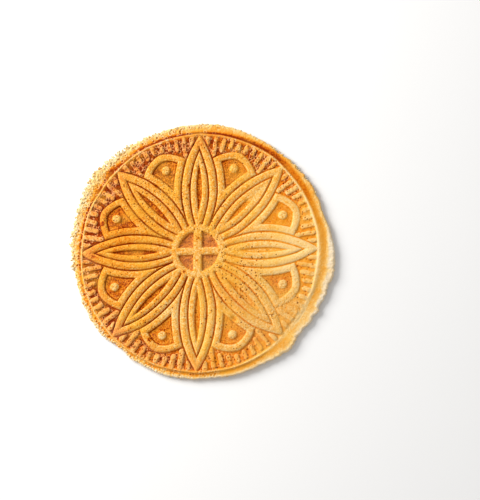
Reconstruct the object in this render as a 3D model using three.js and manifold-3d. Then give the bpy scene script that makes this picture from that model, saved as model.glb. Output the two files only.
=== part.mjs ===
// A pizzelle: a thin round wafer baked between two patterned irons. Both faces carry the same
// traditional rosette, eight leaf-shaped petals round a crossed hub, with a rounded fan and a dot
// between each two petals, short rays beyond them, and one border ring. The batter that ran out
// past the ring is a thin, uneven edge.
//
// Millimetres. The origin is the middle of the underside, on the tops of its ridges, +Z is up
// through the wafer, and +Y points to its twelve o'clock. Clock angles run clockwise from there.
import * as THREE from 'three';
import { mergeVertices } from 'three/addons/utils/BufferGeometryUtils.js';
import Module from 'manifold-3d';

const wasm = await Module();
wasm.setup();

// Heights above the surface that the wafer lies on
const THICKNESS = 3.3;
const EDGE = { bottom: 1.0, top: 2.15 };

// Relief of each face: its depth, and the segments of each outline's arcs
const FRONT = { depth: 1.15, petal: 8, leaf: 8, slit: 4, fan: 6, hub: 28 };
const BACK = { depth: 0.9, petal: 8, leaf: 4, slit: 0, fan: 4, hub: 20 };
const FLANK = 0.6; // how far each side of a ridge leans in from its foot to its top
const ROOT = 0.3; // depth that a ridge is sunk into the wafer, to join it

// Rosette: distances along a spoke are from the middle of the wafer
const PETALS = 8;
const GROOVE = 0.7; // width of a groove at its floor
const PETAL = { arc: 44.4, middle: 30.5, halfWidth: 9.15 };
const LEAF = { arc: 46.2, middle: 29.8, halfWidth: 4.9 };
const SLIT = { arc: 62.9, middle: 31.5, halfWidth: 0.9 };
const FAN = { arc: 12.4, middle: 39.9, wall: 3.95 };
const DOT = { radius: 2.25, middle: 43.75, segments: 10 };
const HUB = { inner: 9.8, outer: 13.1, arm: 4.1 };

// Rays stand on both sides of each fan's spoke, RAY.step degrees apart, and each starts clear of
// what is inside it
const RAY = { step: 4.09, width: 1.9, outer: 55.4, rise: 0.8, flank: 0.4 };
const RAY_STARTS = [53.1, 52.2, 50.4, 47.5, 52.6];

// Border ring, and the edge that ran out past it
const RING = { crest: 57.4, width: 0.9, inside: 1.0, outside: 0.95 };
const GUTTER = 0.3; // depth of the edge at the foot of the ring, below its rim
const EDGE_RADIUS = 61.3;
const LIP = 0.7;
const BODY_SIDES = 96;
// Where more or less batter ran out: clock angle, spread in degrees, and how far it ran
const RUNS = [
  { clock: 308, spread: 44, reach: 4.7 },
  { clock: 350, spread: 17, reach: 1.9 },
  { clock: 14, spread: 26, reach: 1.4 },
  { clock: 97, spread: 30, reach: 3.5 },
  { clock: 138, spread: 17, reach: 1.9 },
  { clock: 196, spread: 15, reach: 0.8 },
  { clock: 176, spread: 12, reach: -0.9 },
  { clock: 221, spread: 9, reach: -2.2 },
];
// The edge is ragged all round, and more so and lumpy where it bubbled
const RAGGED = 0.35;
const BUBBLED = { clock: 294, spread: 40, ragged: 0.75, lump: 0.45 };
const SEED = 7;

// Patches where the batter set before it filled the pattern, so that its relief is weak
const FADED = [
  { clock: 122, middle: 50.5, radius: 9.5, fill: 0.72 },
  { clock: 137, middle: 43, radius: 6.5, fill: 0.5 },
];
const FADED_SIDES = 18;
const MOUND = [[0.8, 0.55], [0.45, 0.9]]; // from the foot up: shares of its radius and of its rise

const WAFER = new THREE.MeshStandardMaterial({ color: 0xe5a34b, roughness: 0.62, metalness: 0 });

const radians = THREE.MathUtils.degToRad;

// A closed geometry as a solid, and back again
function solid(geometry) {
  const bare = geometry.clone();
  bare.deleteAttribute('normal');
  bare.deleteAttribute('uv');
  const merged = mergeVertices(bare);
  const triVerts = [];
  for (let i = 0; i < merged.index.count; i += 3) {
    const triangle = merged.index.array.slice(i, i + 3);
    if (new Set(triangle).size === 3) triVerts.push(...triangle);
  }
  return new wasm.Manifold(new wasm.Mesh({
    numProp: 3,
    vertProperties: new Float32Array(merged.attributes.position.array),
    triVerts: new Uint32Array(triVerts),
  }));
}

function geometryOf(body) {
  const mesh = body.getMesh();
  const geometry = new THREE.BufferGeometry();
  geometry.setAttribute('position', new THREE.BufferAttribute(mesh.vertProperties, 3));
  geometry.setIndex(new THREE.BufferAttribute(mesh.triVerts, 1));
  return geometry;
}

const join = (solids) => solids.reduce((all, next) => all.add(next));

// Turned about +Z from [radius, height] pairs, which go up the outside
function turned(profile, sides) {
  const points = profile.map(([radius, height]) => new THREE.Vector2(radius, height));
  return new THREE.LatheGeometry(points, sides).rotateX(Math.PI / 2);
}

// Outlines are drawn on the spoke that points along +Y, anticlockwise, with an even number of
// segments in each arc. grow moves an outline out by that much.
const sampled = (path, segments) => path.getPoints(segments / 2);

function circle(radius, middle, segments) {
  return sampled(new THREE.Path().absarc(0, middle, radius, 0, 2 * Math.PI), segments);
}

// A pointed oval between two arcs
function oval({ arc, middle, halfWidth }, grow, segments) {
  const radius = arc + grow;
  const offset = arc - halfWidth;
  const tip = Math.acos(offset / radius);
  const path = new THREE.Path();
  path.absarc(-offset, middle, radius, -tip, tip);
  path.absarc(offset, middle, radius, Math.PI - tip, Math.PI + tip);
  return sampled(path, segments);
}

// A fan has a round top and the near arcs of its two petals as its sides
function fan(grow, segments) {
  const side = new THREE.Vector2(PETAL.arc - PETAL.halfWidth, PETAL.middle)
    .rotateAround(new THREE.Vector2(), -Math.PI / PETALS);
  const sideRadius = PETAL.arc + GROOVE / 2 - grow;
  const topRadius = FAN.arc + grow;
  const apex = Math.acos(side.x / sideRadius);
  const toTop = new THREE.Vector2(side.x, FAN.middle - side.y);
  const corner = toTop.angle() + Math.acos((sideRadius ** 2 + toTop.lengthSq() - topRadius ** 2)
    / (2 * sideRadius * toTop.length()));
  const topCorner = Math.asin((side.y + sideRadius * Math.sin(corner) - FAN.middle) / topRadius);
  const path = new THREE.Path();
  path.absarc(side.x, side.y, sideRadius, Math.PI - apex, Math.PI - corner, true);
  path.absarc(0, FAN.middle, topRadius, topCorner, Math.PI - topCorner);
  path.absarc(-side.x, side.y, sideRadius, corner, apex, true);
  return sampled(path, segments);
}

const bar = (width, from, to) => [
  [-width / 2, from], [width / 2, from], [width / 2, to], [-width / 2, to],
].map(([across, along]) => new THREE.Vector2(across, along));

// A raised shape on a floor at height 0, from the outlines of its top and of the recesses in it.
// Its flanks spread out below them, and it ends ROOT under the floor.
function raised(outline, recesses, rise, flank) {
  const shape = new THREE.Shape(outline);
  shape.holes = recesses.map((points) => new THREE.Path(points));
  const geometry = new THREE.ExtrudeGeometry(shape, {
    depth: ROOT / 2,
    bevelThickness: rise + ROOT / 2,
    bevelSize: flank,
    bevelSegments: 1,
  }).translate(0, 0, -ROOT);
  const position = geometry.attributes.position;
  for (let i = 0; i < position.count; i += 1) position.setZ(i, Math.max(position.getZ(i), -ROOT));
  return geometry;
}

// The rosette of one face, on a floor at height 0
function makeRosette(face) {
  const ridge = (outline, recesses) => raised(outline, recesses, face.depth, FLANK);
  const narrow = -GROOVE / 2 - FLANK;
  const wide = GROOVE / 2 + FLANK;
  const slits = face.slit ? [oval(SLIT, 0, face.slit)] : [];
  const petal = [
    ridge(oval(PETAL, narrow, face.petal), [oval(LEAF, wide, face.leaf)]),
    ridge(oval(LEAF, narrow, face.leaf), slits),
  ];
  const gap = [ridge(fan(-FLANK, face.fan), [fan(FLANK - FAN.wall, face.fan)])];
  if (face === FRONT) {
    gap.push(ridge(circle(DOT.radius - FLANK, DOT.middle, DOT.segments), []));
    RAY_STARTS.forEach((start, place) => [-1, 1].forEach((hand) => {
      const outline = bar(RAY.width - 2 * RAY.flank, start + RAY.flank, RAY.outer);
      gap.push(raised(outline, [], RAY.rise * face.depth, RAY.flank)
        .rotateZ(radians(hand * (place + 0.5) * RAY.step)));
    }));
  }

  const spokes = [];
  for (let k = 0; k < PETALS; k += 1) {
    const turn = (2 * Math.PI * k) / PETALS;
    petal.forEach((ridges) => spokes.push(solid(ridges.clone().rotateZ(-turn))));
    gap.forEach((ridges) => spokes.push(solid(ridges.clone().rotateZ(-turn - Math.PI / PETALS))));
  }

  // The hub covers the inner tips of the petals, which end inside its ring
  const inside = circle((HUB.inner + HUB.outer) / 2, 0, face.hub);
  const tips = new THREE.ExtrudeGeometry(new THREE.Shape(inside), {
    depth: 2 * (face.depth + ROOT), bevelEnabled: false,
  }).translate(0, 0, -2 * ROOT);
  const ring = ridge(circle(HUB.outer - FLANK, 0, face.hub), [circle(HUB.inner + FLANK, 0, face.hub)]);
  const arm = ridge(bar(HUB.arm - 2 * FLANK, -HUB.inner, HUB.inner), []);
  const hub = [ring, arm, arm.clone().rotateZ(Math.PI / 2)].map(solid);
  return join([join(spokes).subtract(solid(tips)), ...hub]);
}

// 1 at a clock angle, falling smoothly to 0 at spread degrees to either side of it
function nearness(at, { clock, spread }) {
  const away = Math.abs(THREE.MathUtils.euclideanModulo(at - clock + 180, 360) - 180);
  return away < spread ? 0.5 + 0.5 * Math.cos((Math.PI * away) / spread) : 0;
}

// How far the edge ran out at each side of the body, and how much it was lifted
function makeEdge() {
  THREE.MathUtils.seededRandom(SEED);
  const random = () => 2 * THREE.MathUtils.seededRandom() - 1;
  return Array.from({ length: BODY_SIDES }, (_, i) => {
    const clock = (360 * i) / BODY_SIDES;
    const bubbled = nearness(clock, BUBBLED);
    const ran = RUNS.reduce((sum, run) => sum + run.reach * nearness(clock, run), 0);
    const ragged = THREE.MathUtils.lerp(RAGGED, BUBBLED.ragged, bubbled) * random();
    return { radius: EDGE_RADIUS + ran + ragged, lift: BUBBLED.lump * bubbled * random() };
  });
}

// The wafer without its rosettes: the web between them, the border ring on both faces and the edge
function makeBody() {
  const floor = THICKNESS - FRONT.depth;
  const inner = RING.crest - RING.width / 2;
  const outer = RING.crest + RING.width / 2;
  const foot = outer + RING.outside;
  const geometry = turned([
    [0, BACK.depth], [inner - RING.inside, BACK.depth], [inner, 0], [outer, 0],
    [foot, EDGE.bottom], [EDGE_RADIUS - LIP, EDGE.bottom],
    [EDGE_RADIUS, (EDGE.bottom + EDGE.top) / 2], [EDGE_RADIUS - LIP, EDGE.top],
    [foot, EDGE.top - GUTTER], [outer, THICKNESS], [inner, THICKNESS],
    [inner - RING.inside, floor], [0, floor],
  ], BODY_SIDES);

  const edge = makeEdge();
  const position = geometry.attributes.position;
  const point = new THREE.Vector3();
  for (let i = 0; i < position.count; i += 1) {
    point.fromBufferAttribute(position, i);
    const radius = Math.hypot(point.x, point.y);
    if (radius > foot + LIP / 2) {
      const turn = THREE.MathUtils.euclideanModulo(Math.atan2(point.x, point.y), 2 * Math.PI);
      const place = edge[Math.round((turn / (2 * Math.PI)) * BODY_SIDES) % BODY_SIDES];
      const spread = (place.radius - foot) / (EDGE_RADIUS - foot);
      const scale = (foot + (radius - foot) * spread) / radius;
      position.setXYZ(i, point.x * scale, point.y * scale, point.z + place.lift);
    }
  }
  return solid(geometry);
}

// A low mound that fills the grooves of a faded patch
function makeFaded({ clock, middle, radius, fill }) {
  const floor = THICKNESS - FRONT.depth;
  const rise = FRONT.depth * fill;
  return solid(turned([
    [0, floor - ROOT], [radius, floor - ROOT],
    ...MOUND.map(([out, up]) => [radius * out, floor + rise * up]), [0, floor + rise],
  ], FADED_SIDES).translate(0, middle, 0).rotateZ(-radians(clock)));
}

const front = geometryOf(makeRosette(FRONT)).translate(0, 0, THICKNESS - FRONT.depth);
const back = geometryOf(makeRosette(BACK)).rotateY(Math.PI).translate(0, 0, BACK.depth);
const wafer = join([makeBody(), solid(front), solid(back), ...FADED.map(makeFaded)]);
const mesh = new THREE.Mesh(geometryOf(wafer), WAFER);
mesh.name = 'pizzelle';

const pizzelle = new THREE.Group();
pizzelle.add(mesh);

export default pizzelle;
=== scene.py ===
import math

import bmesh
import bpy
import numpy as np
from bpy.props import FloatProperty, FloatVectorProperty, IntProperty, PointerProperty
from mathutils import Matrix, Vector
from mathutils.kdtree import KDTree


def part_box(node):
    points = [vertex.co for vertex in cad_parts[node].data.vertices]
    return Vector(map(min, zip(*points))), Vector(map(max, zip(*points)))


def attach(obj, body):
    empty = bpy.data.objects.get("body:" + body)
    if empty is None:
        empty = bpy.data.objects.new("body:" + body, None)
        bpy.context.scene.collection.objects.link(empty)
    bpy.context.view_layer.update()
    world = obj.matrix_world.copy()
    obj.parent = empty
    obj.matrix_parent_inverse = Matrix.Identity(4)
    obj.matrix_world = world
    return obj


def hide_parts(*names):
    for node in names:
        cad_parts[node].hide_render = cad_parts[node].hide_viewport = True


bl_info = {
    "name": "Pizzelle Wafer",
    "version": (1, 0, 0),
    "blender": (4, 5, 0),
    "location": "View3D > Sidebar > Pizzelle",
    "description": "Bakes a pizzelle wafer cookie over its packed frame",
    "category": "Add Mesh",
}

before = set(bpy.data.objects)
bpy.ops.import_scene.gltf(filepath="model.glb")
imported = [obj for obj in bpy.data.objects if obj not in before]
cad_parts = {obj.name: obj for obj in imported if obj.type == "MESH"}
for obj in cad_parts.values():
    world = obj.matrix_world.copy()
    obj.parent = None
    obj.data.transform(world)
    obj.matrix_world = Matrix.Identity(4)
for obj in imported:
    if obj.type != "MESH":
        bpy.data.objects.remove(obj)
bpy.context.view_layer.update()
NODE = "pizzelle"
NODE_LOW, NODE_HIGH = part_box(NODE)

# Shapes are worked out in millimetres, from the middle of the underside. Clock angles are in degrees,
# clockwise from twelve o'clock, which is +Y.
MM = 0.001
THICKNESS = (NODE_HIGH.z - NODE_LOW.z) / MM
FRONT_DEPTH = 1.15
BACK_DEPTH = 0.9
EDGE_BOTTOM, EDGE_TOP = 1.0, 2.15
MIDDLE = (EDGE_BOTTOM + EDGE_TOP) / 2
LEAST_WALL = 0.24  # how thick the wafer stays at its rim
DRAW_OUT = 2.5  # how many times as high the front is while its mesh is thinned

# Rosette: distances along a spoke are from the middle of the wafer
PETALS = 8
STEP = 360 / PETALS
GROOVE = 0.4
PETAL = {"arc": 47.6, "middle": 30.9, "half_width": 8.75}
LEAF = {"arc": 49.4, "middle": 29.8, "half_width": 4.55}
SLIT = {"arc": 56.0, "middle": 31.2, "half_width": 1.1}
FAN = {"arc": 19, "middle": 34.1, "offset": 4.0, "round": 2.0, "wall": 3.7, "foot": 30}
DOT = {"radius": 2.25, "middle": 43.75}
HUB = {"inner": 9.8, "outer": 13.1, "arm": 4.1}
RAY = {"step": 4.09, "width": 1.9, "outer": 57.3, "rise": 0.95}
RAY_STARTS = np.array([53.1, 52.2, 50.4, 47.5, 52.6])
RING = {"crest": 57.45, "inside": 0.75, "outside": 0.6, "wide": 1.1, "gutter": 1.1}
FAR_OUTSIDE = -5  # as depth inside an outline: nowhere near it

# The edge. Its tables list places round the wafer: clock angle, how many degrees the place reaches
# to either side, and an amount. RUNS says how much further the batter ran out.
EDGE_RADIUS = 60.9
GUTTER = 0.3
LIP = 0.5
RUNS = [
    (309, 41, 5.8), (350, 34, 2.7), (16, 26, 2.0), (60, 38, 1.7), (97, 27, 4.6), (119, 14, 2.6),
    (138, 18, 3.3), (158, 18, 1.2), (212, 20, -0.9), (220, 9, -1.6), (276, 20, 1.5),
]
RING_WAVES = [(350, 60, 0.55), (155, 35, 0.75), (180, 20, 0.2), (60, 34, -0.35), (270, 25, -0.4)]
LACE = (302, 52)
LACE_RUN = (270, 20, 1.7)  # how much further the lace ran out than the wafer
LACE_STARTS = [(322, 40, 0.5), (40, 46, 0.75)]  # how much further out it starts
FRINGES = [(350, 34, 0.6), (18, 22, 0.35), (46, 34, 0.5), (268, 20, 0.7), (225, 46, 0.65)]
RAGGED = [(122, 56, 1), (216, 16, 1), (240, 50, 1), (38, 56, 0.9)]
TEETH = [(2.6, 1), (1.2, 0.8), (0.6, 0.45)]  # size and share
WIDE_GUTTER = [(48, 50, 1), (88, 45, 1), (322, 44, 0.5)]
NARROW_GUTTER = 0.12
LIFTED = [(85, 66, 0.9), (150, 62, 0.7)]
BUBBLED = [(*LACE, 1), (352, 34, 0.7), (226, 52, 0.75)]
CRUMBS_BACK = [(25, 40, 1.2), (322, 44, 0.7)]  # how much further out the crumbs start
CRUSTY = (230, 76)

# Bake by the clock: 0 is cream, 1 dark brown. The lists go evenly round from twelve o'clock, and the
# fans' from the first fan.
GUTTER_BAKE = [0.98, 0.96, 0.78, 0.44, 0.32, 0.5, 0.58, 0.46, 0.6, 0.78, 0.88, 1.0]
RAY_BAKE = [0.95, 0.82, 0.53, 0.56, 0.78, 0.96, 0.97, 1.0]
SLIT_BAKE = [0.92, 0.72, 0.38, 0.5, 0.7, 0.9, 0.95, 0.95]
FAN_BAKE = [0.84, 0.64, 0.73, 0.71, 0.77, 0.87, 0.9, 0.93]
# Likewise how full the grooves are, how dark the seams run along them (partly browning, partly painted
# shade), and how pale the shoulders beside them (painted highlight)
FILLED = [0.05, 0.3, 0.38, 0.24, 0.1, 0.06, 0.0, 0.0]
SEAM_BROWNING_AND_SHADE = [0.4, 0.2, 0.13, 0.22, 0.36, 0.42, 0.5, 0.55]
SHOULDER_HIGHLIGHTS = [1.3, 0.9, 0.4, 0.8, 1.2, 1.5, 0.8, 0.8]

# Bake of the border and of the ring, and how it differs at places round the wafer
BORDER_BAKE, BORDER_BAKED = 0.42, [(164, 26, 0.2), (128, 32, -0.13)]
CREST_BAKE, CREST_BAKED = 0.15, [(88, 50, -0.08), (5, 42, 0.3), (186, 46, 0.25)]

# Patches: clock angle, distance of their middle from the wafer's, radius, and amount
FADED = [(123, 52, 16, 0.95), (134, 43, 11, 0.6), (124, 57, 9, 0.8), (73, 54, 8, 0.75),
         (103, 54.5, 6, 0.6)]
BROWNED = [(92, 46, 38, -0.14), (282, 40, 28, 0.14), (135, 26, 20, 0.06), (122, 48, 26, -0.05),
           (203, 33, 10, -0.14), (0, 34, 24, -0.05), (178, 34, 22, -0.07)]
SPECKY = [(125, 27, 22, 1), (160, 38, 14, 0.8), (30, 13, 9, 0.8), (322, 36, 25, 1.2),
          (345, 12, 8, 0.9), (215, 38, 20, 0.6), (292, 47, 13, 1.1)]
SCORCHED = [(313, 59.4, 6.5, 1), (302, 59.2, 4.5, 0.8)]
BURNS = [(208, 48, 1.7, 1), (268, 51.5, 1.3, 1), (287, 49.5, 1.7, 1), (306, 53.5, 1.6, 1),
         (28, 52.5, 1.5, 1), (327, 39, 1.2, 1), (351, 33, 1.1, 1), (274, 43.5, 1.1, 1),
         (357, 6.5, 1.0, 1), (188, 5, 0.9, 1), (213, 12, 1.1, 1)]
# Single faults of the upper face: clock angle, distance of the middle, and radius
PLUG = (150, 32.5, 3.4)
DENT = (152.3, 37.3, 2.6)
SMEAR = (46, 41, 11)
TANNED = (132, 46, 34)

NOISE_TABLE = 256
FRONT_SEED, BACK_SEED = 100, 200


# ---------------------------------------------------------------- numbers and noise

def smooth(low, high, value):
    """A smooth step from 0 at low to 1 at high."""
    t = np.clip((value - low) / (high - low), 0, 1)
    return t * t * (3 - 2 * t)


def mix(a, b, share):
    return a + (b - a) * share


def random_table(seed):
    return np.random.default_rng(seed).random((NOISE_TABLE, NOISE_TABLE))


def random_like(number):
    """Another number from 0 to 1 that goes with each of these."""
    return (number * 7919.17) % 1.0


def value_noise(x, y, cell, seed):
    """Smooth noise from -1 to 1, with a new value every cell."""
    values = random_table(seed)
    gx, gy = x / cell, y / cell
    ix, iy = np.floor(gx).astype(int), np.floor(gy).astype(int)
    fx, fy = smooth(0, 1, gx - ix), smooth(0, 1, gy - iy)

    def pick(i, j):
        return values[(ix + i) % NOISE_TABLE, (iy + j) % NOISE_TABLE]

    return 2 * mix(mix(pick(0, 0), pick(1, 0), fx), mix(pick(0, 1), pick(1, 1), fx), fy) - 1


def spots(x, y, cell, seed):
    """Distance to the nearest of points scattered one to a cell, and that point's own number."""
    across, along, own = random_table(seed), random_table(seed + 1), random_table(seed + 2)
    gx, gy = x / cell, y / cell
    ix, iy = np.floor(gx).astype(int), np.floor(gy).astype(int)
    best = np.full(gx.shape, 9.0)
    number = np.zeros(gx.shape)
    for i in (-1, 0, 1):
        for j in (-1, 0, 1):
            at = ((ix + i) % NOISE_TABLE, (iy + j) % NOISE_TABLE)
            away = np.hypot(gx - ix - i - across[at], gy - iy - j - along[at])
            nearer = away < best
            best = np.where(nearer, away, best)
            number = np.where(nearer, own[at], number)
    return best * cell, number


def nearness(clock, at, spread):
    """1 at a clock angle, falling smoothly to 0 at spread degrees to either side of it."""
    away = np.abs((clock - at + 180) % 360 - 180)
    return np.where(away < spread, 0.5 + 0.5 * np.cos(np.pi * away / spread), 0.0)


def strongest(clock, places):
    """The most that any of these places round the wafer gives here."""
    return np.maximum.reduce([amount * nearness(clock, at, spread) for at, spread, amount in places])


def total(clock, places, base=0.0):
    """Base, and what these places round the wafer add to it here."""
    return sum((amount * nearness(clock, at, spread) for at, spread, amount in places), base)


def by_clock(clock, values):
    """From one to the next of values that lie evenly round the clock."""
    return np.interp(clock, np.arange(len(values)) * 360 / len(values), values, period=360)


def patch(x, y, clock, middle, radius):
    """1 in the middle of a patch, 0 from its radius outwards."""
    turn = math.radians(clock)
    away = np.hypot(x - middle * math.sin(turn), y - middle * math.cos(turn)) / radius
    return smooth(1, 0, away)


def strongest_patch(x, y, patches):
    return np.maximum.reduce([amount * patch(x, y, *place) for *place, amount in patches])


def total_patch(x, y, patches, base):
    """Base, and what these patches add to it here."""
    return sum((amount * patch(x, y, *place) for *place, amount in patches), base)


# ---------------------------------------------------------------- shape of the wafer

def oval(u, v, part):
    """Depth inside a pointed oval that lies along a spoke, negative outside it."""
    offset = part["arc"] - part["half_width"]
    return part["arc"] - np.hypot(u - part["middle"], v + offset)


def bead(a, b, power=2.2, shape=0.55):
    """A rounded ridge between two edges that are a and b away."""
    inside = (a > 0) & (b > 0)
    share = np.where(inside, a / np.maximum(a + b, 1e-6), 0)
    rise = np.maximum(1 - np.abs(2 * share - 1) ** power, 0) ** shape
    return np.where(inside, rise, 0.0)


def edge_radius(clock):
    """Where the wafer ends. The lace beyond it is crumb of its own."""
    return EDGE_RADIUS + total(clock, RUNS) * (1 - 0.8 * nearness(clock, *LACE))


def lace_radius(clock):
    """Where the lace ends."""
    return EDGE_RADIUS + total(clock, RUNS) + total(clock, [LACE_RUN])


def edge_outline(clock):
    """Where the wafer ends, with its ragged teeth."""
    turn = np.radians(clock)
    x, y = EDGE_RADIUS * np.sin(turn), EDGE_RADIUS * np.cos(turn)
    ragged = 0.16 + 0.28 * nearness(clock, *LACE) + 0.36 * strongest(clock, RAGGED)
    teeth = sum(share * value_noise(x, y, size, 11 + kind) for kind, (size, share) in enumerate(TEETH))
    return edge_radius(clock) + ragged * teeth


def petal_ridges(petal, leaf, slit):
    """Outer and inner loop of a petal."""
    half = GROOVE / 2
    return np.maximum(bead(petal - half, -leaf - half, 1.9, 0.58), bead(leaf - half, 0.1 - slit, 1.9, 0.58))


def fan_depths(u, v, petal):
    """Depths inside a fan and inside its sunk floor, and its depth below its arc beside the petals."""
    top = FAN["arc"] - np.hypot(u - FAN["middle"], np.hypot(v, FAN["round"]) + FAN["offset"])
    side = -petal - GROOVE / 2
    fan = np.where(u > FAN["foot"], np.minimum(side, top), side)
    recess = np.minimum(side - FAN["wall"], top - FAN["wall"])
    return fan, recess, np.where(side > 0.3, top, FAR_OUTSIDE)


def fan_wall(u, fan, recess):
    """The fan's wall, which spreads to a solid wedge towards the hub."""
    wall = bead(fan, -recess, 2.0, 0.55)
    wedge = smooth(34, 29, u) * (fan > 0)
    return mix(wall, np.maximum(wall, 0.8 * smooth(0, 1.2, fan)), wedge)


def ray_bars(x, y, r, clock, off, fan_number):
    """Uneven bars beside each fan's spoke, and the depth inside one's outline."""
    hand = (off > 0).astype(int)
    place = np.clip((np.abs(np.degrees(off)) / RAY["step"]).astype(int), 0, len(RAY_STARTS) - 1)
    row = (fan_number * 2 + hand) % NOISE_TABLE
    number, other = random_table(33)[row, place], random_table(34)[row, place]
    bar = np.radians((place + 0.5) * RAY["step"]) * np.where(hand > 0, 1, -1)
    along, across = r * np.cos(off - bar), r * np.sin(off - bar)
    start = RAY_STARTS[place] - 0.5 + 0.9 * (other - 0.4)
    width = RAY["width"] * (mix(0.52, 0.63, number) + 0.07 * nearness(clock, 205, 75))
    end = mix(RAY["outer"] - 0.6, RAY["outer"] + 0.3, other)
    past = np.maximum(np.maximum(start + width - along, along - end + width), 0)
    reach = np.hypot(past, across + 0.22 * value_noise(x, y, 1.5, 35)) / width
    bars = np.sqrt(np.maximum(1 - reach ** 3.2, 0)) * mix(0.62, 1.0, number)
    broken = nearness(clock, 330, 60) * smooth(0.0, -0.5, value_noise(x, y, 1.3, 36))
    return bars * (1 - 0.6 * broken), (1 - reach) * width


def hub_ridges(x, y, r):
    """The hub's ring, and its cross alone."""
    ring = bead(r - HUB["inner"] + 0.15, HUB["outer"] + 0.2 - r, 3.6, 0.6)
    half = HUB["arm"] / 2
    upright = bead(half + 0.2 - np.abs(x + 0.2), half + 0.2 + np.abs(x + 0.2), 5, 0.6)
    level = bead(half - 0.1 - np.abs(y), half - 0.1 + np.abs(y), 5, 0.6)
    cross = np.maximum(upright, level) * (r < HUB["inner"] + 1)
    return np.maximum(ring, cross), cross


def rosette(x, y, front):
    """Relief of one face inside its ring, from 0 to 1, and masks and depths of its parts."""
    x = x + 0.2 * value_noise(x, y, 9, 21 if front else 22)
    y = y + 0.2 * value_noise(x, y, 9, 23 if front else 24)
    r = np.hypot(x, y)
    clock = np.degrees(np.arctan2(x, y)) % 360
    away = np.radians((clock + STEP / 2) % STEP - STEP / 2)
    u, v = r * np.cos(away), r * np.abs(np.sin(away))
    petal, leaf, slit = oval(u, v, PETAL), oval(u, v, LEAF), oval(u, v, SLIT)

    fan_number = (clock // STEP).astype(int)
    off = np.radians(clock % STEP - STEP / 2)
    fan_u, fan_v = r * np.cos(off), r * np.sin(off)
    fan, recess, arc = fan_depths(fan_u, fan_v, petal)
    ball = np.hypot(fan_u - DOT["middle"], fan_v) / DOT["radius"]
    dimple = np.where(random_table(31)[fan_number % PETALS, 5] > 0.45, 0.28, 0.1)
    dot = 0.92 * np.sqrt(np.maximum(1 - ball ** 2.4, 0)) - dimple * np.exp(-(ball / 0.22) ** 2) * (ball < 1)

    between = (petal < -GROOVE / 2) & (fan < 0)
    bars, bar_edge = ray_bars(x, y, r, clock, off, fan_number)
    bars = bars * between
    hub, cross = hub_ridges(x, y, r)
    parts = [petal_ridges(petal, leaf, slit), fan_wall(fan_u, fan, recess), dot * (recess > 0),
             bars * RAY["rise"]]
    relief = np.maximum.reduce(parts) * smooth(HUB["outer"] - 1.6, HUB["outer"] - 0.4, r)
    relief = np.maximum(relief, 0.97 * hub)
    masks = {
        "well": smooth(HUB["inner"] + 0.3, HUB["inner"] - 0.6, r) * (1 - smooth(0.1, 0.5, cross)),
        "recess": smooth(-0.3, 0.5, recess) * (1 - smooth(0.05, 0.4, dot)),
        "rays": smooth(-0.2, 0.4, -fan) * smooth(-0.1, 0.5, -petal - GROOVE / 2) * smooth(44, 46, r),
        "bar": bars,
        "hub": smooth(HUB["outer"] + 1.5, HUB["outer"], r),
        "dot": smooth(1.0, 0.8, ball),
        "petal_edge": petal,
        "leaf_edge": leaf,
        "slit_edge": slit,
        "fan_edge": recess,
        "arc_edge": arc,
        "bar_edge": np.where(between, bar_edge, FAR_OUTSIDE),
    }
    return relief, masks, r, clock


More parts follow.
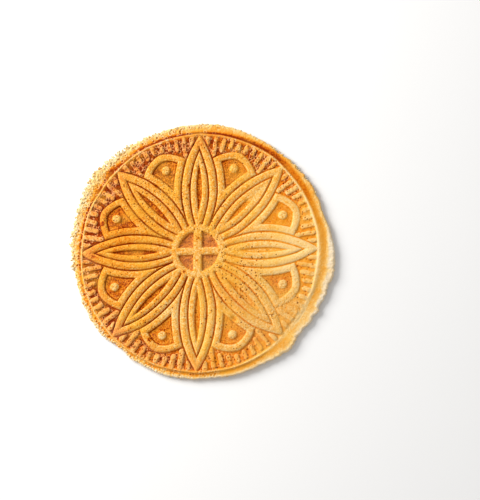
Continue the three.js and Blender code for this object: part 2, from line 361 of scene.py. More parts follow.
class Face:
    """One face of the wafer at the points x, y. The front's height is from the underside up, and the
    back's is from the floor of its relief down."""

    def __init__(self, x, y, front):
        self.x, self.y, self.front = x, y, front
        self.seed = FRONT_SEED if front else BACK_SEED
        self.depth = FRONT_DEPTH if front else BACK_DEPTH
        self.relief, self.parts, self.r, self.clock = rosette(x, y, front)
        # Shade is 1 down in the grooves and low places and 0 on the ridges. Their darker bake there is partly
        # browning and partly painted shade.
        self.shade = 1 - smooth(0.0, 0.6, self.relief)
        # The right side is paler, with lighter grooves: partly less browned, and partly a painted pool of
        # light where the light fell brighter
        self.right = smooth(-20, 52, 0.9 * x - 0.35 * y)
        self.left = 1 - smooth(-15, 40, x)
        self.spoil()
        self.height = self.run_out(self.border(self.blister()))

    def spoil(self):
        """Weakens the relief where the batter was thin, filled a groove or smeared a ridge."""
        x, y, r, rays = self.x, self.y, self.r, self.parts["rays"]
        self.faded, self.dent, self.smear, plug = 0.0, 0.0, 0.0, 0.0
        if self.front:
            self.faded = strongest_patch(x, y, FADED)
            self.dent, plug = patch(x, y, *DENT), patch(x, y, *PLUG)
            self.smear = smooth(0.0, 0.6, patch(x, y, *SMEAR)) * smooth(0.6, 1.6, self.parts["leaf_edge"])
        self.rays = np.clip(rays * (1 - 0.6 * self.faded), 0, 1)
        shallow = self.rays * (0.1 + 0.35 * smooth(54.5, 57, r))
        shallow = np.maximum(by_clock(self.clock, FILLED) * smooth(8, 16, r), shallow) * self.front
        relief = self.relief + (1 - self.relief) * shallow
        relief = mix(relief, 0.72 + 0.1 * (relief - 0.5), self.faded)
        relief = mix(relief, 0.55, 0.7 * plug)
        relief = mix(relief, 0.1, 0.9 * self.dent)
        self.relief = mix(relief, 0.78, 0.85 * self.smear)

    def blister(self):
        """Height of the relief with pits of open bubbles, lumps between them, and grain."""
        x, y, rays = self.x, self.y, self.rays
        away, own = spots(x, y, 1.35, self.seed + 1)
        size = mix(0.25, 0.5, own)
        baked = smooth(0.5, 0.95, by_clock(self.clock, RAY_BAKE))
        self.burnt = baked * (1 - 0.3 * nearness(self.clock, 215, 60))
        share = np.maximum(mix(0.06, mix(0.2, 0.7, self.burnt), rays), 0.3 * self.parts["hub"])
        is_open = (random_like(own) < share) & (self.r < RING["crest"] - 0.6)
        self.pit = smooth(size, size * 0.35, away) * is_open
        rim = np.exp(-((away - size * 1.25) / 0.22) ** 2) * is_open
        self.lumps = 1 - smooth(0.15, 0.8, spots(x, y, 1.25, self.seed + 5)[0])
        self.grain = value_noise(x, y, 0.9, self.seed + 9)
        self.drift = value_noise(x, y, 3.4, self.seed + 11)

        rough = 0.03 + 0.1 * np.maximum(rays, 0.5 * self.parts["recess"])
        high = self.relief * self.depth + rough * self.grain + 0.03 * self.drift * self.relief
        blisters = 0.24 * self.lumps * (1 - self.parts["bar"]) + 0.16 * rim
        return high + rays * self.burnt * blisters - self.pit * mix(0.16, 0.45, rays)

    def border(self, high):
        """Height with the border ring, and the thin edge beyond it."""
        x, y, r, clock = self.x, self.y, self.r, self.clock
        ring = RING["crest"] + total(clock, RING_WAVES)
        self.crest = ring + 0.12 * value_noise(x, y, 5, self.seed + 13)
        self.outer = edge_outline(clock)
        self.wide = np.maximum(strongest(clock, WIDE_GUTTER), NARROW_GUTTER)
        flank = mix(RING["outside"], RING["wide"], nearness(clock, 100, 62))
        inside = np.exp(-((r - self.crest) / RING["inside"]) ** 2)
        outside = np.exp(-((r - self.crest) / flank) ** 2)
        if self.front:
            worn = smooth(0.2, 0.9, value_noise(x, y, 2.2, self.seed + 12)) * 0.5
            top = THICKNESS - 0.75 * nearness(clock, 130, 26)
            top = mix(top, top - 0.35, worn)
            floor = THICKNESS - FRONT_DEPTH
            inner = np.maximum(floor + high, floor + (top - floor) * inside)
            near_ring = smooth(self.crest - 1.6, self.crest - 0.2, r)
            inner = mix(inner, np.minimum(inner, top), near_ring)
            lift = strongest(clock, LIFTED)
            foot = EDGE_TOP + lift - GUTTER * (1 - self.wide)
            rise = smooth(self.crest + 1.0, self.crest + 1.6 + 2.2 * self.wide, r)
            edge = mix(foot, EDGE_TOP + 0.6 * lift, rise)
        else:
            top = self.depth
            inner = np.maximum(high, top * inside)
            edge = BACK_DEPTH - EDGE_BOTTOM
        return np.where(r < self.crest, inner, edge + (top - edge) * outside)

    def run_out(self, z):
        """Height with the crumbs and clots of the batter that ran out, and with the edge rounded."""
        x, y, r, clock = self.x, self.y, self.r, self.clock
        away, self.clot_size = spots(x, y, 1.1, self.seed + 21)
        self.clots = 1 - smooth(0.1, 0.75, away)
        self.bubbled = strongest(clock, BUBBLED)
        start = total(clock, CRUMBS_BACK, mix(61.0, self.crest + 1.6, self.bubbled))
        beyond = smooth(start, start + 1.1, r)
        self.crusty = smooth(self.crest + 0.3, self.crest + 1.0, r) * nearness(clock, *CRUSTY)
        raised = mix(0.5, 1.2, self.clot_size)
        crumb = beyond * np.maximum(self.bubbled, 0.3)
        z = z + crumb * (0.75 * self.clots * raised - 0.2) + beyond * 0.07 * self.grain
        z = z + 0.55 * self.crusty * (1 - beyond) * (self.clots * raised - 0.3)
        waves = (0.035 + 0.05 * nearness(clock, 35, 60)) * value_noise(x, y, 1.3, self.seed + 22)
        z = z + waves * (r > self.crest + 1)

        middle = MIDDLE if self.front else BACK_DEPTH - MIDDLE
        over = np.clip((r - self.outer + LIP) / LIP, 0, 1)
        return mix(middle, z, np.sqrt(np.maximum(1 - over ** 2, 0)))

    def pattern_bake(self):
        """How browned the rosette is. Its grooves and low places are darker, partly for their browning and
        partly as painted shade.
        """
        x, y, clock, parts, right = self.x, self.y, self.clock, self.parts, self.right
        golden = total_patch(x, y, BROWNED, mix(0.48, 0.32, right)) - 0.07 * parts["hub"]
        bake = mix(golden, mix(0.8, 0.48, right), self.shade)
        bake = mix(bake, by_clock(clock, SLIT_BAKE), smooth(0.1, 0.6, parts["slit_edge"]))
        bake = mix(bake, golden - 0.06, 0.9 * self.smear)
        bake = mix(bake, by_clock(clock - STEP / 2, FAN_BAKE) + 0.05 * self.grain, parts["recess"])
        bake = mix(bake, 0.9, parts["well"] * self.shade)
        on_bar = parts["bar"] + 0.35 * self.lumps * (self.drift > 0) * self.burnt - 0.1
        bar_bake = mix(0.42, 0.3, right) + 0.09 * nearness(clock, 325, 40)
        bar_bake = mix(by_clock(clock, RAY_BAKE), bar_bake, smooth(0.3, 0.75, on_bar))
        bake = mix(bake, bar_bake, self.rays)
        bake = mix(bake, mix(0.32, 0.24, right), parts["dot"] * smooth(0.2, 0.6, self.relief))
        bake = mix(bake, mix(0.42, 0.36, right), self.faded * 0.7)
        return bake + 0.3 * self.pit + 0.35 * self.dent + 0.8 * smooth(0.1, 0.6, self.burn)

    def border_bake(self):
        """How browned the gutter and the edge are, with painted light on the lip round the lower right."""
        x, y, r, clock = self.x, self.y, self.r, self.clock
        from_edge = r - self.outer
        # Near 100 degrees the edge is torn and cream. Round 165 degrees the rim is paled as painted light
        # over the shade on its rounded lip.
        torn_and_lit_edge = smooth(0.0, 0.5, nearness(clock, 100, 34))
        torn_and_lit_edge = np.maximum(torn_and_lit_edge, 0.8 * smooth(0.0, 0.4, nearness(clock, 165, 70)))
        band = 3.6 * nearness(clock, 98, 26) + 1.4
        to_edge = smooth(-3.0, -0.3, from_edge) * (1 - 0.6 * nearness(clock, 48, 40))
        to_edge = np.maximum(to_edge, torn_and_lit_edge * smooth(-band, -0.45 * band, from_edge))
        bake = mix(total(clock, BORDER_BAKED, BORDER_BAKE), mix(0.2, 0.03, torn_and_lit_edge), to_edge)
        bake = bake - 0.12 * self.bubbled * self.clots
        end = self.crest + mix(1.5, 3.0, self.wide)
        bake = mix(self.gutter_bake, bake, smooth(end - 0.5, end + 0.9, r)) + 0.08 * self.drift
        bake = mix(bake, 0.98, strongest_patch(x, y, SCORCHED) * smooth(61.8, 60.8, r))
        mottle = value_noise(x, y, 1.1, self.seed + 23) + 0.6 * value_noise(x, y, 0.6, self.seed + 24)
        bake = bake + nearness(clock, 262, 80) * 0.13 * mottle
        clots = 0.66 * self.clots * mix(0.4, 1.1, self.clot_size)
        return bake + self.crusty * (0.1 * mottle + 0.22 - clots)

    def looks(self):
        """What the material reads: bake, blush, bubbles, grain and specks, and depths inside the
        outlines that lines are drawn along."""
        x, y, r, clock, parts, crest = self.x, self.y, self.r, self.clock, self.parts, self.crest
        self.burn = strongest_patch(x, y, BURNS) * self.front
        self.gutter_bake = by_clock(clock, GUTTER_BAKE)
        past_ring = smooth(crest + 0.25, crest + 0.6, r)
        bake = mix(self.pattern_bake(), self.border_bake(), past_ring)
        crest_wide = mix(np.where(r < crest, 0.7, 0.5), 1.0, nearness(clock, 105, 60))
        on_crest = np.exp(-((r - crest) / crest_wide) ** 2)
        bake = mix(bake, total(clock, CREST_BAKED, CREST_BAKE), 0.9 * on_crest)
        toasted = self.left * smooth(47, 56, r) * (1 - self.rays) * (r < crest)
        toasted = toasted * (1 - 0.6 * nearness(clock, 330, 50)) * (1 + 0.5 * nearness(clock, 225, 50))
        rosy_bars = self.rays * self.left * smooth(0.2, 0.6, parts["bar"])
        blush = 0.35 * on_crest + 0.5 * rosy_bars + 0.6 * toasted * (1 - on_crest) + 0.1 * parts["well"]
        bubbly = self.rays * self.burnt * (1 - 0.6 * parts["bar"])
        bubbly = bubbly + 0.15 * parts["recess"] + 0.15 * parts["hub"]
        smooth_border = past_ring * smooth(0, 0.4, nearness(clock, 52, 66))
        grainy = (1 - 0.35 * smooth(0.1, 0.7, self.right)) * (1 - 0.5 * self.rays)
        grainy = grainy * (1 - 0.4 * patch(x, y, 80, 44, 24)) * (1 + 0.35 * patch(x, y, 128, 44, 26))
        crisp = 1 - 0.85 * self.faded
        broken = smooth(-0.5, 0.1, value_noise(x, y, 1.7, self.seed + 31))
        past_hub, inside_ring = smooth(12, 16, r), smooth(57, 56, r)
        tan = patch(x, y, *TANNED) * smooth(crest, crest - 1.5, r) + 0.8 * parts["well"] * self.shade
        return {
            "bake": np.clip(bake + 0.12 * toasted, 0, 1),
            "blush": np.clip(blush, 0, 1) * (1 - 0.6 * self.right) * (1 - self.burn),
            "bubbly": np.clip(bubbly, 0, 1) * (1 - smooth_border),
            "grainy": grainy * (1 + 0.5 * nearness(clock, 42, 55) * past_ring),
            "specky": strongest_patch(x, y, SPECKY) - smooth(54, 57, r) - 0.5 * patch(x, y, 50, 42, 26),
            "tan": tan,
            **{name: parts[name] for name in ("petal_edge", "leaf_edge", "fan_edge", "arc_edge", "bar_edge")},
            "slit_edge": mix(parts["slit_edge"], FAR_OUTSIDE, self.smear),
            # Strength of the bars' pale rims, partly painted highlight, and of their dark feet, partly
            # painted shade
            "bar": crisp * smooth(57.2, 56.6, r) * mix(0.45, 1, self.burnt) * broken,
            # Strength of the painted highlight on the pale shoulders beside the grooves
            "shoulder_highlight": crisp * by_clock(clock, SHOULDER_HIGHLIGHTS) * past_hub * inside_ring * (1 - parts["rays"]),
            # Strength of the dark seams in the grooves, partly browning and partly painted shade
            "seam_and_shade": crisp * by_clock(clock, SEAM_BROWNING_AND_SHADE) * past_hub * inside_ring,
            "ring_edge": r - crest,
            "gutter": mix(self.gutter_bake - 0.5, 0, self.wide) * (r > crest),
        }


# ---------------------------------------------------------------- meshes

DISC_CUTS, QUICK_CUTS = (3, 3, 3, 3), (3, 3, 3, 1)
DISC_GAP = 0.01


def bake_disc(cuts):
    """A flat octagon of even triangles, 1 in radius, whose front and back are joined at the rim."""
    bm = bmesh.new()
    bmesh.ops.create_circle(bm, cap_ends=True, cap_tris=True, segments=PETALS, radius=1.0)
    for count in cuts:
        bmesh.ops.subdivide_edges(bm, edges=bm.edges[:], cuts=count, use_grid_fill=True)
    copied = bmesh.ops.duplicate(bm, geom=bm.faces[:])["geom"]
    back = [item for item in copied if isinstance(item, bmesh.types.BMFace)]
    back_verts = [item for item in copied if isinstance(item, bmesh.types.BMVert)]
    bmesh.ops.reverse_faces(bm, faces=back)
    bmesh.ops.translate(bm, verts=back_verts, vec=(0, 0, -DISC_GAP))
    rims = [edge for edge in bm.edges if edge.is_boundary]
    bmesh.ops.bridge_loops(bm, edges=rims)
    bmesh.ops.recalc_face_normals(bm, faces=bm.faces[:])
    mesh = bpy.data.meshes.new("wafer")
    bm.to_mesh(mesh)
    bm.free()
    return mesh


def positions(mesh):
    flat = np.empty(len(mesh.vertices) * 3, np.float32)
    mesh.vertices.foreach_get("co", flat)
    return flat.reshape(-1, 3).astype(float)


def set_positions(mesh, points):
    mesh.vertices.foreach_set("co", points.astype(np.float32).ravel())
    mesh.update()


def set_attribute(mesh, name, values):
    layer = mesh.attributes.new(name, "FLOAT", "POINT")
    layer.data.foreach_set("value", np.asarray(values, np.float32))


def add_object(data, name):
    obj = bpy.data.objects.new(name, data)
    bpy.context.scene.collection.objects.link(obj)
    return obj


def apply_modifiers(obj):
    """Puts what the modifiers make into the mesh."""
    depsgraph = bpy.context.evaluated_depsgraph_get()
    made = bpy.data.meshes.new_from_object(obj.evaluated_get(depsgraph))
    old = obj.data
    obj.modifiers.clear()
    obj.data = made
    made.name = old.name
    bpy.data.meshes.remove(old)


def finish_piece(obj, material):
    """Gives a piece its material, and lets it ride on the part's root."""
    obj.data.shade_smooth()
    obj.data.materials.clear()
    obj.data.materials.append(material)
    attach(obj, "root")


# ---------------------------------------------------------------- materials

# Textures are in metres, depths inside outlines in millimetres, and colours in linear light
GRAIN_CELL, FINE_CELL, BROAD_CELL = 0.0014, 0.0006, 0.011
BUBBLE_CELL, BUBBLE_SHARE = 0.0017, 0.5
WARM_CELL, CROWD_CELL = 0.012, 0.009
STRAY_CELL, STRAY = 0.0007, (0.0008, 0.0008, 0)
SPECKS = [(0.0024, 0.00046), (0.0014, 0.00032)]  # size of a cell, and radius of its speck
BUMP_HEIGHT = 0.0005
BUTTER = (0.93, 0.5, 0.05, 1)
TAN = (0.68, 0.37, 0.13, 1)
ROSY = (0.9, 0.36, 0.15, 1)
HOLE = (0.3, 0.07, 0.015, 1)
PINK = (1.0, 0.58, 0.27, 1)
SPECK = (0.26, 0.05, 0.001, 1)

# The edges that lines are drawn along, and how strongly
LINES = [("petal_edge", 1), ("leaf_edge", 0.9), ("slit_edge", 0.55), ("fan_edge", 0.7),
         ("arc_edge", 0.55)]


def add_node(tree, kind, inputs=None, **settings):
    made = tree.nodes.new(kind)
    for name, value in settings.items():
        setattr(made, name, value)
    for socket, value in (inputs or {}).items():
        if isinstance(value, bpy.types.NodeSocket):
            tree.links.new(value, made.inputs[socket])
        else:
            made.inputs[socket].default_value = value
    return made


def math_node(tree, operation, first, second, clamp=False):
    return add_node(tree, "ShaderNodeMath", {0: first, 1: second}, operation=operation,
                    use_clamp=clamp).outputs[0]


def scaled(tree, value, size):
    return math_node(tree, "MULTIPLY", value, size)


def swing(tree, value, size):
    """A texture from 0 to 1 as a swing to either side of 0."""
    return scaled(tree, math_node(tree, "SUBTRACT", value, 0.5), size)


def summed(tree, first, *rest):
    """First, and each of the rest times its weight."""
    for value, weight in rest:
        first = math_node(tree, "ADD", first, value if weight == 1 else scaled(tree, value, weight))
    return first


def highest(tree, first, *rest):
    for term in rest:
        first = math_node(tree, "MAXIMUM", first, term)
    return first


def distance_from(tree, value, middle):
    return math_node(tree, "ABSOLUTE", math_node(tree, "SUBTRACT", value, middle), 0.0)


def fade(tree, value, low, high):
    """0 where value is low, 1 where it is high."""
    return add_node(tree, "ShaderNodeMapRange", {0: value, 1: low, 2: high}, clamp=True,
                    interpolation_type="SMOOTHSTEP").outputs[0]


def tint(tree, colour, share, other):
    """Takes a colour towards another."""
    return add_node(tree, "ShaderNodeMix", {0: share, 6: colour, 7: other}, data_type="RGBA").outputs[2]


def noise(tree, where, size, detail=2.0, rough=0.5):
    return add_node(tree, "ShaderNodeTexNoise",
                    {"Vector": where, "Scale": 1 / size, "Detail": detail, "Roughness": rough}).outputs[0]


def attribute(tree, name):
    return add_node(tree, "ShaderNodeAttribute", attribute_name=name).outputs["Fac"]


def cells(tree, where, cell, dimensions):
    """Distance to the nearest of scattered points, and that point's number."""
    made = add_node(tree, "ShaderNodeTexVoronoi", {"Vector": where, "Scale": 1 / cell},
                    voronoi_dimensions=dimensions)
    own = add_node(tree, "ShaderNodeSeparateColor", {0: made.outputs["Color"]}).outputs[0]
    return made.outputs["Distance"], own


def speck_mask(tree, where, cell, radius, crowd):
    """Small specks, one to a cell where there is one, and more of them where crowd is high."""
    away, own = cells(tree, where, cell, "2D")
    kept = math_node(tree, "GREATER_THAN", math_node(tree, "ADD", own, crowd), 1.5)
    return scaled(tree, fade(tree, away, radius / cell, 0.45 * radius / cell), kept)


def bubble_masks(tree, where, cell, share):
    """Open bubbles, one to a cell where there is one: their holes, and the rims round them."""
    away, own = cells(tree, where, cell, "3D")
    kept = math_node(tree, "LESS_THAN", own, share)
    hole = fade(tree, away, 0.36, 0.16)
    rim = fade(tree, distance_from(tree, away, 0.46), 0.17, 0.05)
    return scaled(tree, hole, kept), scaled(tree, rim, kept)


def line_mask(tree, name, middle, far, near):
    """1 within near of where an edge attribute passes middle, 0 further than far from it."""
    return fade(tree, distance_from(tree, attribute(tree, name), middle), far, near)


def pattern_lines(tree):
    """Dark seams along the edges in the pattern, partly browning and partly painted shade, and the pale
    shoulders beside them, which are painted highlight.
    """
    seams_and_shade, shoulder_highlights = [], []
    for name, strength in LINES:
        seams_and_shade.append(scaled(tree, line_mask(tree, name, 0, 0.38, 0.08), strength))
        beside = highest(tree, *(line_mask(tree, name, side * 0.75, 0.42, 0.05) for side in (-1, 1)))
        shoulder_highlights.append(scaled(tree, beside, strength))
    seam_and_shade = scaled(tree, highest(tree, *seams_and_shade), attribute(tree, "seam_and_shade"))
    shoulder_highlight = math_node(tree, "SUBTRACT", highest(tree, *shoulder_highlights), scaled(tree, seam_and_shade, 2.5), clamp=True)
    return seam_and_shade, scaled(tree, shoulder_highlight, attribute(tree, "shoulder_highlight"))


def ray_lines(tree):
    """Pale rims of the bars beside the fans, partly their paler crust and partly painted highlight, and the
    dark feet round them, partly browning and partly painted shade.
    """
    strength = attribute(tree, "bar")
    rims = line_mask(tree, "bar_edge", 0.2, 0.32, 0.08)
    feet = line_mask(tree, "bar_edge", -0.4, 0.4, 0.1)
    return scaled(tree, rims, strength), scaled(tree, feet, strength)


def speck_layer(tree, where):
    """Specks at strayed places, in crowds."""
    crowd = summed(tree, noise(tree, where, CROWD_CELL, 1), (attribute(tree, "specky"), 0.36))
    wander = add_node(tree, "ShaderNodeTexNoise", {"Vector": where, "Scale": 1 / STRAY_CELL})
    strayed = add_node(tree, "ShaderNodeVectorMath", {0: wander.outputs["Color"], 1: STRAY, 2: where},
                       operation="MULTIPLY_ADD").outputs[0]
    return highest(tree, *(speck_mask(tree, strayed, cell, radius, crowd) for cell, radius in SPECKS))


def bake_ramp(tree, value, colours):
    """From cream to dark brown."""
    ramp = add_node(tree, "ShaderNodeValToRGB", {0: value})
    stops = ramp.color_ramp
    while len(stops.elements) < len(colours):
        stops.elements.new(0.5)
    for element, (place, colour) in zip(stops.elements, colours):
        element.position = place
        element.color = (*colour, 1)
    return ramp.outputs[0]


def new_material(name):
    """A material, its nodes, its shader, and the place on the object."""
    material = bpy.data.materials.new(name)
    material.use_nodes = True
    tree = material.node_tree
    where = add_node(tree, "ShaderNodeTexCoord").outputs["Object"]
    return material, tree, tree.nodes["Principled BSDF"], where


def crust_material(name, shades, speckle=1.0):
    """Baked wafer: browned by its attribute, mottled, specked, bubbled and finely pitted, with painted
    highlight on the shoulders beside the grooves and seams that are partly painted shade.
    """
    material, tree, shader, where = new_material(name)
    bubbly, grainy = attribute(tree, "bubbly"), attribute(tree, "grainy")

    mottle = swing(tree, noise(tree, where, GRAIN_CELL, 3.0, 0.65), grainy)
    fine = swing(tree, noise(tree, where, FINE_CELL, 2.0, 0.6), grainy)
    broad = swing(tree, noise(tree, where, BROAD_CELL), 0.2)
    holes, rims = (scaled(tree, mask, bubbly)
                   for mask in bubble_masks(tree, where, BUBBLE_CELL, BUBBLE_SHARE))
    seams_and_shade, shoulder_highlights = pattern_lines(tree)
    bar_rims_and_highlights, bar_feet_and_shade = ray_lines(tree)
    gutter = scaled(tree, line_mask(tree, "ring_edge", RING["gutter"], 0.6, 0.2), attribute(tree, "gutter"))
    specks = speck_layer(tree, where)

    # How browned it is. Pale rims and painted highlights take it no lower than 0.17, or than its attribute
    # where that is less.
    bake = summed(tree, attribute(tree, "bake"), (mottle, 0.75), (fine, 1.1), (broad, 1), (seams_and_shade, 1),
                  (gutter, 1), (holes, 0.25), (bar_feet_and_shade, 0.18))
    lights = summed(tree, scaled(tree, rims, 0.26), (bar_rims_and_highlights, 0.2), (shoulder_highlights, 0.13))
    bake = math_node(tree, "SUBTRACT", bake, lights, clamp=True)
    bake = highest(tree, bake, math_node(tree, "MINIMUM", attribute(tree, "bake"), 0.17))

    colour = bake_ramp(tree, bake, shades)
    warm = fade(tree, noise(tree, where, WARM_CELL, 1.0), 0.48, 0.68)
    pink = highest(tree, scaled(tree, rims, 0.42), scaled(tree, bar_rims_and_highlights, 0.35))
    tints = [(warm, 0.3, BUTTER), (attribute(tree, "tan"), 0.24, TAN),
             (attribute(tree, "blush"), 0.45, ROSY), (holes, 0.5, HOLE), (pink, 1, PINK),
             (specks, 0.95 * speckle, SPECK)]
    for mask, strength, other in tints:
        colour = tint(tree, colour, scaled(tree, mask, strength), other)
    tree.links.new(colour, shader.inputs["Base Color"])

    height = summed(tree, scaled(tree, fine, 0.9), (mottle, 1), (rims, 0.35), (bar_rims_and_highlights, 0.2),
                    (shoulder_highlights, 0.15))
    dips = summed(tree, scaled(tree, specks, 0.2), (holes, 0.4), (seams_and_shade, 0.6))
    height = math_node(tree, "SUBTRACT", height, dips)
    bump = add_node(tree, "ShaderNodeBump", {"Height": height, "Distance": BUMP_HEIGHT, "Strength": 1.0})
    tree.links.new(bump.outputs[0], shader.inputs["Normal"])
    dull = summed(tree, scaled(tree, fine, 0.25), (bubbly, 0.2), (0.38, 1))
    tree.links.new(dull, shader.inputs["Roughness"])
    shader.inputs["IOR"].default_value = 1.45
    shader.inputs["Specular IOR Level"].default_value = 0.05
    return material


def linear(text):
    """A colour written as RRGGBB, as linear light."""
    parts = [int(text[i:i + 2], 16) / 255 for i in (0, 2, 4)]
    return tuple(c / 12.92 if c <= 0.04045 else ((c + 0.055) / 1.055) ** 2.4 for c in parts)


# ---------------------------------------------------------------- settings

def colour_property(name, text, description):
    return FloatVectorProperty(name=name, description=description, subtype="COLOR", size=3,
                               min=0, max=1, default=linear(text))


class PizzelleWafer(bpy.types.PropertyGroup):
    """The wafer's relief and its baked colours"""
    triangles: IntProperty(name="Triangles", description="Most triangles in the wafer",
                           default=192000, min=20000, max=199000)
    cream: colour_property("Cream", "F3E1C3", "Batter that hardly browned, at the torn edge")
    pale: colour_property("Pale", "F7CC80", "Lightly baked ridges")
    golden: colour_property("Golden", "F0A944", "Well baked ridges")
    orange: colour_property("Orange", "EA9322", "Flanks of the ridges")
    deep: colour_property("Deep orange", "E27B12", "Floors of the recesses")
    brown: colour_property("Brown", "C45E06", "Floors between the rays")
    dark: colour_property("Dark", "8F3000", "Bottoms of the grooves")


class PizzelleCrumb(bpy.types.PropertyGroup):
    """The lacy crumb round the edge"""
    granules: IntProperty(name="Granules", description="Bubbled grains in the lace",
                          default=2300, min=50, max=4000)
    grain: FloatProperty(name="Grain", description="Radius of a middling grain", unit="LENGTH",
                         default=0.0005, min=0.0002, max=0.001)
    froth: colour_property("Froth", "E3C98E", "Pale froth at the outside")
    voxel: FloatProperty(name="Fineness", description="Size to which the grains are fused",
                         unit="LENGTH", default=0.00019, min=0.0001, max=0.001)


class PizzelleStage(bpy.types.PropertyGroup):
    """Floor, lights and camera"""
    key: FloatProperty(name="Key light", description="Power of the soft light at the upper left",
                       unit="POWER", default=7.0, min=0)
    fill: FloatProperty(name="Surround", description="Strength of the light all round",
                        default=0.47, min=0)
    lens: FloatProperty(name="Lens", description="Focal length", unit="CAMERA", default=86.4, min=20)


def shades(settings, pale=None):
    """Colours of the bake, from 0 to 1."""
    return [(0.0, settings.cream), (0.2, pale or settings.pale), (0.4, settings.golden),
            (0.6, settings.orange), (0.75, settings.deep), (0.88, settings.brown),
            (1.0, settings.dark)]


# ---------------------------------------------------------------- operators

class PIZZELLE_OT_wafer(bpy.types.Operator):
    """Presses and bakes the wafer in place of its plain solid"""
    bl_idname = "pizzelle.wafer"
    bl_label = "Wafer"

    def press(self, mesh):
        """Spreads the disc to the wafer's outline and presses both faces. The front is drawn out, so
        that it keeps more of its detail when the mesh is thinned."""
        points = positions(mesh)
        front = points[:, 2] > -DISC_GAP / 2
        x, y = points[:, 0], points[:, 1]

        # Rings of the octagon become circles, and the outermost reach the edge
        turn = np.arctan2(x, y)
        corner = turn % (2 * math.pi / PETALS) - math.pi / PETALS
        share = np.hypot(x, y) * np.cos(corner) / math.cos(math.pi / PETALS)
        hold = RING["crest"] - 0.6
        r = share * EDGE_RADIUS
        past = np.maximum(r - hold, 0) / (EDGE_RADIUS - hold)
        r = np.minimum(r, hold) + past * (edge_outline(np.degrees(turn) % 360) - hold)
        x, y = r * np.sin(turn), r * np.cos(turn)

        z = np.empty_like(x)
        upper = Face(x[front], y[front], True).height
        lower = BACK_DEPTH - Face(x[~front], y[~front], False).height
        z[front] = np.maximum(upper, MIDDLE + LEAST_WALL / 2)
        z[~front] = np.minimum(lower, MIDDLE - LEAST_WALL / 2)
        z = np.clip(z, 0, THICKNESS)
        drawn = np.where(front, MIDDLE + (z - MIDDLE) * DRAW_OUT, z)
        set_positions(mesh, np.stack([x, y, drawn], 1) * MM)

    def execute(self, context):
        settings = context.scene.pizzelle_wafer
        mesh = bake_disc(DISC_CUTS)
        self.press(mesh)
        wafer = add_object(mesh, "wafer")
        mesh.calc_loop_triangles()
        thin = wafer.modifiers.new("thin", "DECIMATE")
        thin.ratio = min(1.0, settings.triangles / len(mesh.loop_triangles))
        apply_modifiers(wafer)
        mesh = wafer.data
        x, y, z = (positions(mesh) / MM).T
        front = z > MIDDLE
        z = np.clip(np.where(front, MIDDLE + (z - MIDDLE) / DRAW_OUT, z), 0, THICKNESS)
        set_positions(mesh, np.stack([x, y, z], 1) * MM)

        on_front, on_back = Face(x, y, True).looks(), Face(x, y, False).looks()
        for name in on_front:
            set_attribute(mesh, name, np.where(front, on_front[name], on_back[name]))
        finish_piece(wafer, crust_material("baked_crust", shades(settings)))
        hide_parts(NODE)
        return {"FINISHED"}


LACE_SEED = 41
BATCH = 60  # grains made at a time, because more in one mesh are slow
LACE_KEPT = 0.45  # share of the lace's triangles


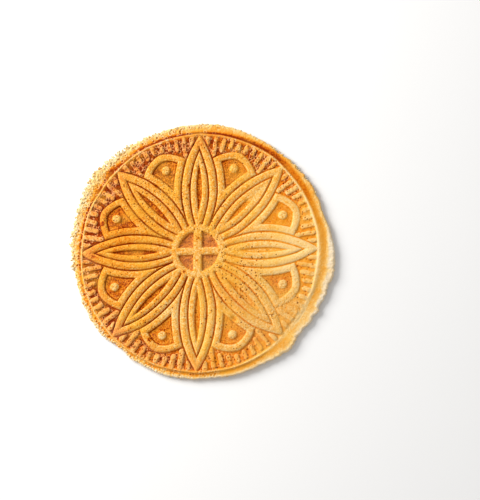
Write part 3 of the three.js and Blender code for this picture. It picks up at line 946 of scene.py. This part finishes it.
class PIZZELLE_OT_crumb(bpy.types.Operator):
    """Fuses bubbled grains into the lace round the edge"""
    bl_idname = "pizzelle.crumb"
    bl_label = "Lace crumb"

    def grow_chain(self, rng, clock, lace):
        """Places and stretches for the grains of one short chain that runs out from the edge."""
        chain = []
        start = float(total(clock, LACE_STARTS, edge_radius(clock) - 1.0))
        r = start + rng.uniform(-0.2, 0.7)
        limit = float(lace_radius(clock)) + rng.uniform(-1.2, 0.3)
        limit = max(limit, r + mix(0.1, 1.2, min(3 * lace, 1)))
        high = rng.uniform(EDGE_BOTTOM + 0.2, EDGE_TOP - 0.2)
        while r < limit:
            size = rng.uniform(0.7, 1.35) * mix(mix(0.75, 1.0, lace), 0.65, min((r - start) / 5, 1))
            turn = math.radians(clock)
            at = Vector((r * math.sin(turn), r * math.cos(turn), high)) * MM
            stretch = Matrix.Diagonal((*(size * rng.uniform(0.8, 1.25, 3)), 1))
            chain.append(Matrix.Translation(at) @ stretch)
            step = rng.uniform(0.5, 0.8) * size
            r += step * rng.uniform(0.2, 1.0)
            clock += math.degrees(step * rng.uniform(-0.9, 0.9) / r)
            high = min(max(high + rng.uniform(-0.3, 0.3), EDGE_BOTTOM), EDGE_TOP + 0.1)
            if rng.uniform() < mix(0.45, 0.06, lace):
                break
        return chain

    def grow_chains(self, count):
        """Chains with at least this many grains, mostly where the batter bubbled."""
        rng = np.random.default_rng(LACE_SEED)
        grains = []
        while len(grains) < count:
            clock = rng.uniform(0, 360)
            lace = float(nearness(clock, *LACE))
            if rng.uniform() <= max(lace ** 0.6, float(strongest(clock, FRINGES))):
                grains += self.grow_chain(rng, clock, lace)
        return grains

    def grain_mesh(self, grains, radius):
        whole = bmesh.new()
        mesh = bpy.data.meshes.new("lace_crumb")
        for batch in range(0, len(grains), BATCH):
            bm = bmesh.new()
            for place in grains[batch:batch + BATCH]:
                bmesh.ops.create_icosphere(bm, subdivisions=2, radius=radius, matrix=place)
            bm.to_mesh(mesh)
            bm.free()
            whole.from_mesh(mesh)
        whole.to_mesh(mesh)
        whole.free()
        return mesh

    def valleys(self, mesh, grains, radius):
        """1 where a second grain is close by, 0 where only the nearest is."""
        tree = KDTree(len(grains))
        for number, place in enumerate(grains):
            tree.insert(place.translation, number)
        tree.balance()
        own = [place.median_scale * radius for place in grains]
        away = [min(away / own[number] for _, number, away in tree.find_n(vert.co, 4)[1:])
                for vert in mesh.vertices]
        return smooth(1.6, 1.1, np.array(away))

    def execute(self, context):
        settings = context.scene.pizzelle_crumb
        grains = self.grow_chains(settings.granules)
        lace = add_object(self.grain_mesh(grains, settings.grain), "lace_crumb")
        fuse = lace.modifiers.new("fuse", "REMESH")
        fuse.mode = "VOXEL"
        fuse.voxel_size = settings.voxel * 1
        thin = lace.modifiers.new("thin", "DECIMATE")
        thin.ratio = LACE_KEPT
        apply_modifiers(lace)

        mesh = lace.data
        x, y, z = (positions(mesh) / MM).T
        r = np.hypot(x, y)
        clock = np.degrees(np.arctan2(x, y)) % 360
        low, crevice_shade = smooth(2.0, 1.2, z), self.valleys(mesh, grains, settings.grain)
        # Darker where the grains sit lower, and painted shade where grains meet
        bake = 0.06 + 0.12 * low + 0.06 * value_noise(x, y, 1.1, LACE_SEED + 10) + 0.15 * crevice_shade
        bake = bake + nearness(clock, 302, 65) * 0.25 * smooth(63, 60, r)
        bake = bake + 0.08 * nearness(clock, 0, 50) - 0.06 * smooth(63, 66, r)
        set_attribute(mesh, "bake", np.clip(bake, 0, 1))
        set_attribute(mesh, "grainy", np.full_like(bake, 0.7))
        froth = shades(context.scene.pizzelle_wafer, settings.froth)
        finish_piece(lace, crust_material("pale_crumb", froth, 0.2))
        return {"FINISHED"}


# The stage, in metres. The camera looks down at a slant.
FLOOR_HALF = 1.5
KEY_PLACE, KEY_SIZE, KEY_COLOUR = (-0.5, 0.31, 0.39), 0.4, (1.0, 0.98, 0.95)
CAMERA_PLACE = (0.09444, -0.11987, 0.5553)
CAMERA_RIGHT = (0.99126, 0.00758, -0.13171)
CAMERA_BACK = (0.13035, -0.21047, 0.96887)
SENSOR = 36  # millimetres
NEAREST = 0.01


class PIZZELLE_OT_stage(bpy.types.Operator):
    """Lays the pale floor and sets the lights and the camera"""
    bl_idname = "pizzelle.stage"
    bl_label = "Stage"

    def add_floor(self):
        bm = bmesh.new()
        bmesh.ops.create_grid(bm, x_segments=8, y_segments=8, size=FLOOR_HALF)
        mesh = bpy.data.meshes.new("floor")
        bm.to_mesh(mesh)
        bm.free()
        floor = add_object(mesh, "floor")
        material, tree, shader, where = new_material("pale_floor")
        clouded = tint(tree, (0.93, 0.93, 0.93, 1), noise(tree, where, 0.3), (0.95, 0.95, 0.95, 1))
        tree.links.new(clouded, shader.inputs["Base Color"])
        shader.inputs["Roughness"].default_value = 0.9
        mesh.materials.append(material)

    def add_lights(self, scene, settings):
        world = bpy.data.worlds.new("studio")
        world.use_nodes = True
        background = world.node_tree.nodes["Background"]
        background.inputs["Color"].default_value = (1, 1, 1, 1)
        background.inputs["Strength"].default_value = settings.fill
        scene.world = world

        key = bpy.data.lights.new("key", "AREA")
        key.energy = settings.key
        key.size = KEY_SIZE
        key.color = KEY_COLOUR
        lamp = add_object(key, "key")
        lamp.location = KEY_PLACE
        lamp.rotation_euler = (-Vector(KEY_PLACE)).to_track_quat("-Z", "Y").to_euler()

    def add_camera(self, scene, settings):
        camera = bpy.data.cameras.new("camera")
        camera.sensor_width = SENSOR
        camera.lens = settings.lens
        camera.clip_start = NEAREST
        view = add_object(camera, "camera")
        right, back = Vector(CAMERA_RIGHT).normalized(), Vector(CAMERA_BACK).normalized()
        up = back.cross(right).normalized()
        turn = Matrix((right, up, back)).transposed().to_4x4()
        view.matrix_world = Matrix.Translation(CAMERA_PLACE) @ turn
        scene.camera = view
        scene.view_settings.view_transform = "Standard"

    def execute(self, context):
        settings = context.scene.pizzelle_stage
        self.add_floor()
        self.add_lights(context.scene, settings)
        self.add_camera(context.scene, settings)
        return {"FINISHED"}


class PIZZELLE_PT_panel(bpy.types.Panel):
    """Lists the pieces and their settings"""
    bl_idname = "PIZZELLE_PT_panel"
    bl_label = "Pizzelle"
    bl_space_type = "VIEW_3D"
    bl_region_type = "UI"
    bl_category = "Pizzelle"

    def draw(self, context):
        for name, group, operator in PARTS:
            box = self.layout.box()
            for setting in group.__annotations__:
                box.prop(getattr(context.scene, name), setting)
            box.operator(operator.bl_idname)


PARTS = [
    ("pizzelle_wafer", PizzelleWafer, PIZZELLE_OT_wafer),
    ("pizzelle_crumb", PizzelleCrumb, PIZZELLE_OT_crumb),
    ("pizzelle_stage", PizzelleStage, PIZZELLE_OT_stage),
]


def register():
    for name, group, operator in PARTS:
        bpy.utils.register_class(group)
        bpy.utils.register_class(operator)
        setattr(bpy.types.Scene, name, PointerProperty(type=group))
    bpy.utils.register_class(PIZZELLE_PT_panel)


def unregister():
    bpy.utils.unregister_class(PIZZELLE_PT_panel)
    for name, group, operator in reversed(PARTS):
        delattr(bpy.types.Scene, name)
        bpy.utils.unregister_class(operator)
        bpy.utils.unregister_class(group)


def main():
    register()
    bpy.ops.pizzelle.wafer()
    bpy.ops.pizzelle.crumb()
    bpy.ops.pizzelle.stage()


if __name__ == "__main__":
    main()
